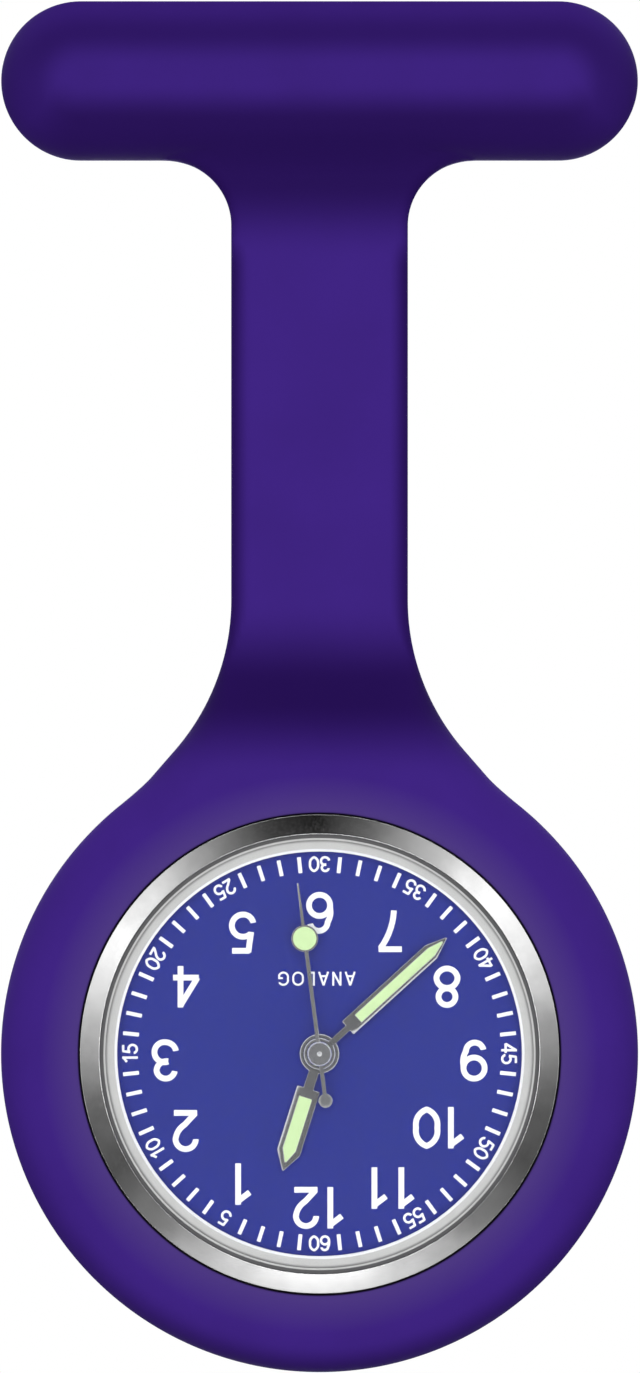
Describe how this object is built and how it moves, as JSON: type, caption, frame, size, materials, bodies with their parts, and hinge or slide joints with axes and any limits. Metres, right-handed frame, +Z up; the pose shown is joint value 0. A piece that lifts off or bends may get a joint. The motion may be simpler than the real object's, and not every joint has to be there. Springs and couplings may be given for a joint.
{
  "type": "silicone fob watch",
  "caption": "Nurse's fob watch: silicone T-bar, strap and round housing with a brooch pin behind the bar and a quartz watch hung upside-down.",
  "frame": {"origin": "middle of the brooch needle, behind the middle of the T-bar", "axes": "+Z up along the strap, dial faces -Y, +X to the viewer's right along the needle"},
  "size_m": [0.04, 0.0095, 0.0861],
  "materials": {
    "silicone": "satin",
    "pin_steel": "satin",
    "bezel_steel": "polished",
    "case_steel": "satin",
    "glass": "gloss",
    "gasket_nylon": "matte",
    "seal_rubber": "matte",
    "dial_blue": "satin",
    "print_white": "matte",
    "flange_grey": "satin",
    "hand_metal": "satin",
    "lume_green": "matte",
    "movement_plastic": "matte",
    "plate_steel": "satin",
    "gear_brass": "satin",
    "gear_plastic": "satin",
    "stator_iron": "satin",
    "coil_copper": "gloss",
    "rotor_magnet": "satin",
    "board_green": "satin",
    "chip_epoxy": "satin",
    "can_steel": "gloss",
    "battery_steel": "gloss",
    "spring_steel": "satin",
    "screw_steel": "satin"
  },
  "bodies": {
    "hanger": {"silicone_hanger": "silicone", "pin_plate": "pin_steel", "pin_rivet": "pin_steel"},
    "pin_needle": {"pin_needle": "pin_steel"},
    "catch_roller": {"catch_roller": "pin_steel"},
    "holder_ring": {"silicone_ring": "silicone"},
    "watch": {"mid_case": "case_steel", "bezel": "bezel_steel", "crystal": "glass", "crystal_gasket": "gasket_nylon", "rehaut_ring": "flange_grey", "case_back": "case_steel", "back_gasket": "seal_rubber", "crown_tube": "case_steel", "dial": "dial_blue", "hour_numerals": "print_white", "minute_track": "print_white", "dial_word": "print_white", "movement_ring": "movement_plastic", "main_plate": "plate_steel", "train_bridge": "plate_steel", "stator": "stator_iron", "coil_core": "stator_iron", "coil_winding": "coil_copper", "dial_washer": "gear_brass", "motion_cover": "spring_steel", "circuit_board": "board_green", "ic_chip": "chip_epoxy", "quartz_can": "can_steel", "battery": "battery_steel", "battery_contact": "spring_steel", "battery_clamp": "spring_steel", "movement_screws": "screw_steel"},
    "second_arbor": {"second_wheel": "gear_plastic", "second_hand": "hand_metal", "second_hand_lume": "lume_green"},
    "rotor": {"rotor": "rotor_magnet"},
    "fifth_wheel": {"fifth_wheel": "gear_plastic"},
    "third_wheel": {"third_wheel": "gear_plastic"},
    "center_arbor": {"center_wheel": "gear_brass", "cannon_pinion": "gear_brass", "minute_hand": "hand_metal", "minute_hand_lume": "lume_green"},
    "minute_wheel": {"minute_wheel": "gear_brass"},
    "hour_wheel": {"hour_wheel": "gear_brass", "hour_hand": "hand_metal", "hour_hand_lume": "lume_green"},
    "setting_wheel": {"setting_wheel": "gear_brass"},
    "crown_slider": {"crown_seal": "seal_rubber"},
    "crown": {"crown": "case_steel", "stem": "pin_steel", "setting_pinion": "gear_brass"},
    "setting_lever": {"setting_lever": "spring_steel"}
  },
  "joints": [
    {"name": "pin_open", "type": "hinge", "parent": "hanger", "child": "pin_needle", "pos_m": [-0.0112, 0, 0], "axis": [0, 0, 1], "range_deg": [0, 65]},
    {"name": "catch_turn", "type": "hinge", "parent": "hanger", "child": "catch_roller", "pos_m": [0.0109, 0, 0], "axis": [1, 0, 0], "range_deg": [0, 110]},
    {"name": "strap_flex", "type": "hinge", "parent": "hanger", "child": "holder_ring", "pos_m": [0, -0.0032, -0.021], "axis": [-1, 0, 0], "range_deg": [-60, 90], "stiffness_Nm_per_rad": 0.0026},
    {"name": "watch_press_out", "type": "slide", "parent": "holder_ring", "child": "watch", "axis": [0, -1, 0], "range_m": [0, 0.0115], "deforming": ["silicone_ring"]},
    {"name": "second_hand_turn", "type": "hinge", "parent": "watch", "child": "second_arbor", "pos_m": [0, 0, -0.0611], "axis": [0, 1, 0], "continuous": true},
    {"name": "rotor_turn", "type": "hinge", "parent": "watch", "child": "rotor", "pos_m": [0.0046, 0, -0.06438], "axis": [0, 1, 0], "continuous": true},
    {"name": "fifth_wheel_turn", "type": "hinge", "parent": "watch", "child": "fifth_wheel", "pos_m": [0.00241, 0, -0.06312], "axis": [0, 1, 0], "continuous": true},
    {"name": "third_wheel_turn", "type": "hinge", "parent": "watch", "child": "third_wheel", "pos_m": [-0.00105, 0, -0.06398], "axis": [0, 1, 0], "continuous": true},
    {"name": "minute_hand_turn", "type": "hinge", "parent": "watch", "child": "center_arbor", "pos_m": [0, 0, -0.0611], "axis": [0, 1, 0], "continuous": true},
    {"name": "minute_wheel_turn", "type": "hinge", "parent": "watch", "child": "minute_wheel", "pos_m": [-0.0028, 0, -0.0611], "axis": [0, 1, 0], "continuous": true},
    {"name": "hour_hand_turn", "type": "hinge", "parent": "watch", "child": "hour_wheel", "pos_m": [0, 0, -0.0611], "axis": [0, 1, 0], "continuous": true},
    {"name": "setting_wheel_turn", "type": "hinge", "parent": "watch", "child": "setting_wheel", "pos_m": [-0.00592, 0, -0.05951], "axis": [0, 1, 0], "continuous": true},
    {"name": "crown_pull", "type": "slide", "parent": "watch", "child": "crown_slider", "axis": [-1, 0, 0], "range_m": [0, 0.0006]},
    {"name": "crown_turn", "type": "hinge", "parent": "crown_slider", "child": "crown", "pos_m": [-0.017, -0.00295, -0.0611], "axis": [-1, 0, 0], "continuous": true},
    {"name": "setting_lever_swing", "type": "hinge", "parent": "watch", "child": "setting_lever", "pos_m": [-0.009, 0, -0.0587], "axis": [0, 1, 0], "range_deg": [0, 14.75]}
  ],
  "couplings": [
    {"joint": "rotor_turn", "follows": "second_hand_turn", "ratio": 30},
    {"joint": "fifth_wheel_turn", "follows": "second_hand_turn", "ratio": -6},
    {"joint": "third_wheel_turn", "follows": "second_hand_turn", "ratio": -0.13333},
    {"joint": "minute_hand_turn", "follows": "second_hand_turn", "ratio": 0.016667},
    {"joint": "minute_wheel_turn", "follows": "second_hand_turn", "ratio": -0.0055556},
    {"joint": "hour_hand_turn", "follows": "second_hand_turn", "ratio": 0.0013889},
    {"joint": "setting_wheel_turn", "follows": "second_hand_turn", "ratio": 0.0083333},
    {"joint": "setting_lever_swing", "follows": "crown_pull", "rad_per_m": 414.52}
  ]
}
